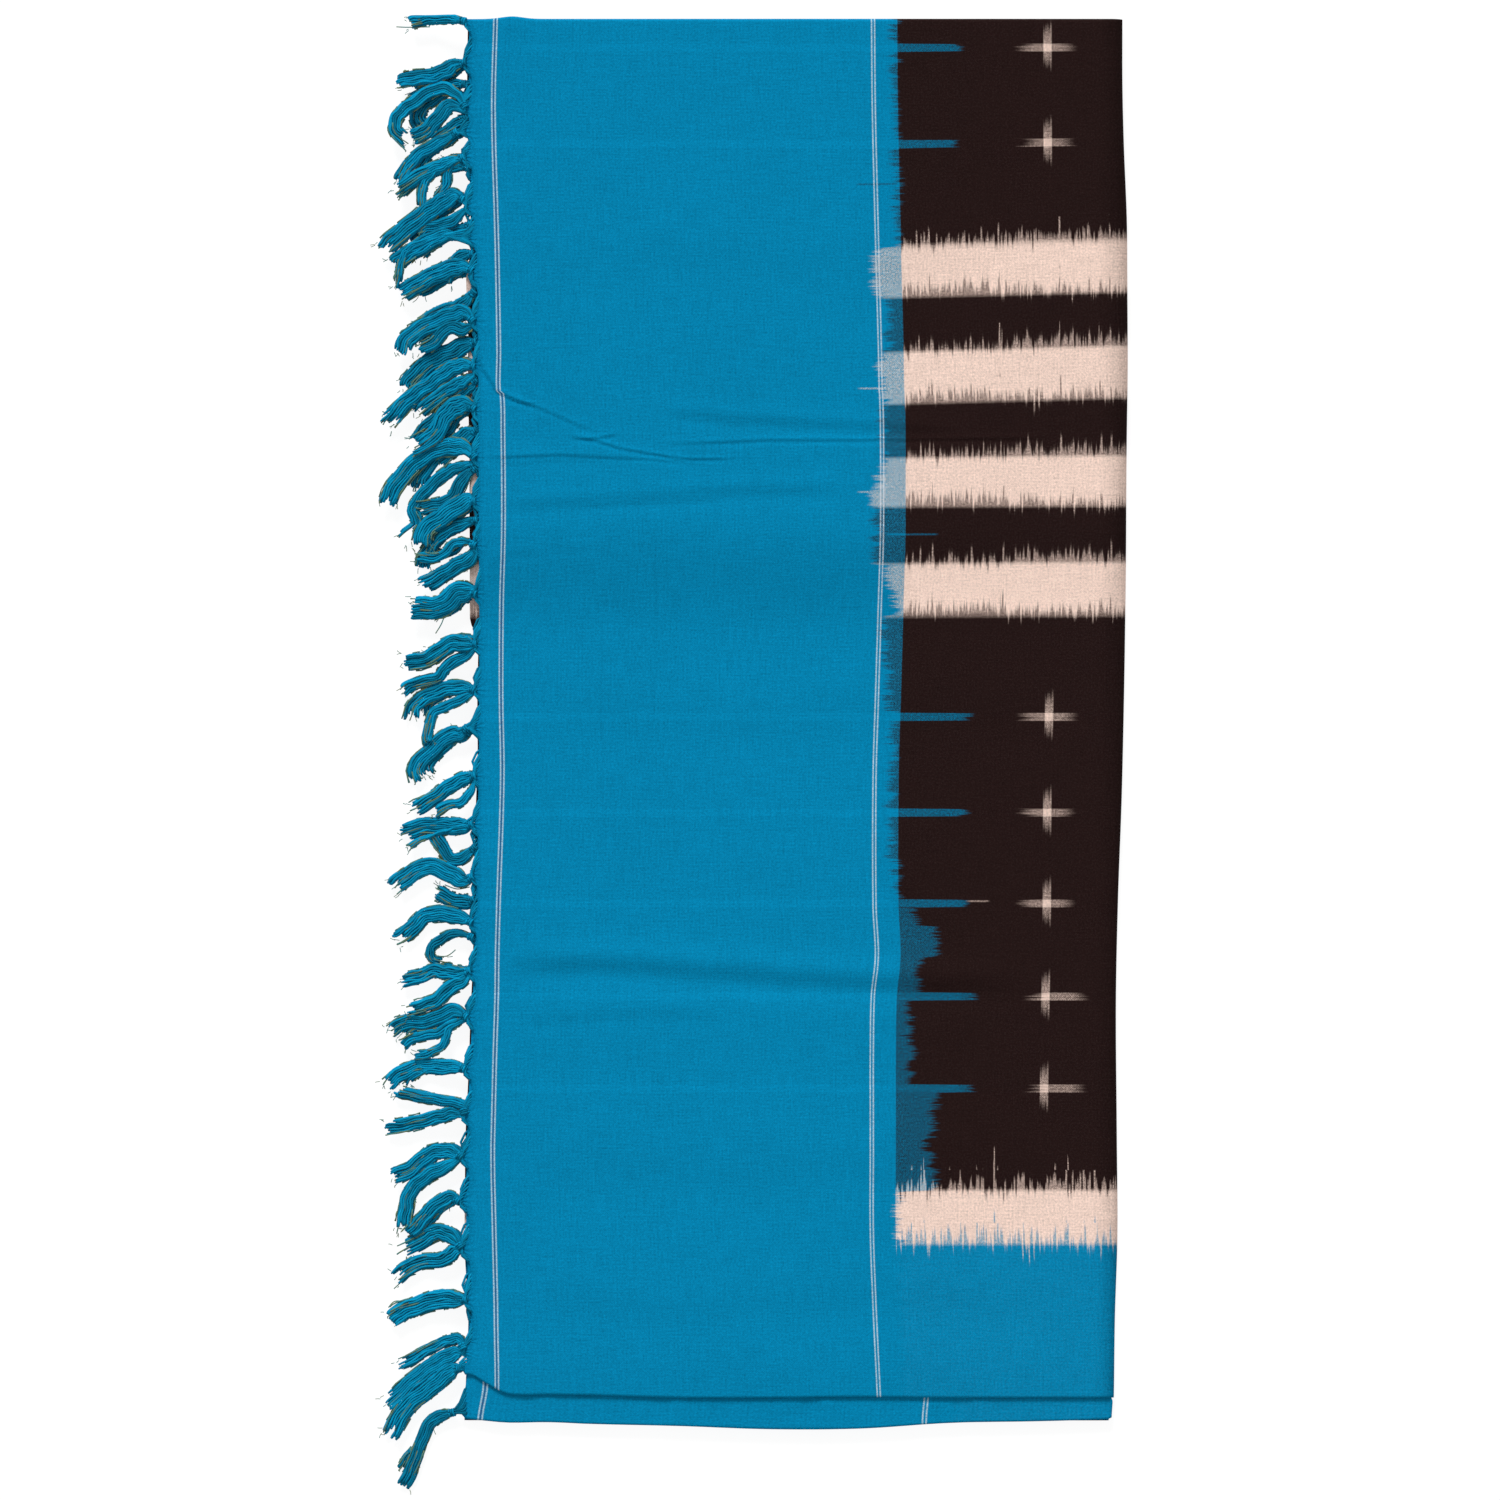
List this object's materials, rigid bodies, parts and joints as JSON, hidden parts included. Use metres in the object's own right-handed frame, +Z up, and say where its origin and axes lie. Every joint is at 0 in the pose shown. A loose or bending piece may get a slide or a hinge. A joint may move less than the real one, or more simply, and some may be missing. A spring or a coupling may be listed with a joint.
{
  "type": "folded dupatta",
  "caption": "Handwoven cotton dupatta with a knotted fringe, folded into a flat stack and lying on a table.",
  "frame": {"origin": "middle of the bounding box's underside, on the table", "axes": "+Z up from the table, +Y towards the lengthwise fold, +X towards the fold that wraps the stack; the fringe is at -X"},
  "size_m": [0.3612, 0.7038, 0.0126],
  "materials": {
    "cotton_end": "handwoven cotton dyed bright blue, matt, with a fine plain weave",
    "cotton_body": "handwoven cotton tie-dyed black and cream with small crosses, matt",
    "cotton_fringe": "loose blue cotton yarn, matt, slightly fuzzy"
  },
  "bodies": {
    "root": {"front_panel": "cotton_end", "far_end_panel": "cotton_end", "folded_core": "cotton_body", "back_panel": "cotton_body", "fringe_front": "cotton_fringe", "fringe_front_fold": "cotton_fringe", "fringe_far_fold": "cotton_fringe", "fringe_far": "cotton_fringe"}
  },
  "joints": []
}
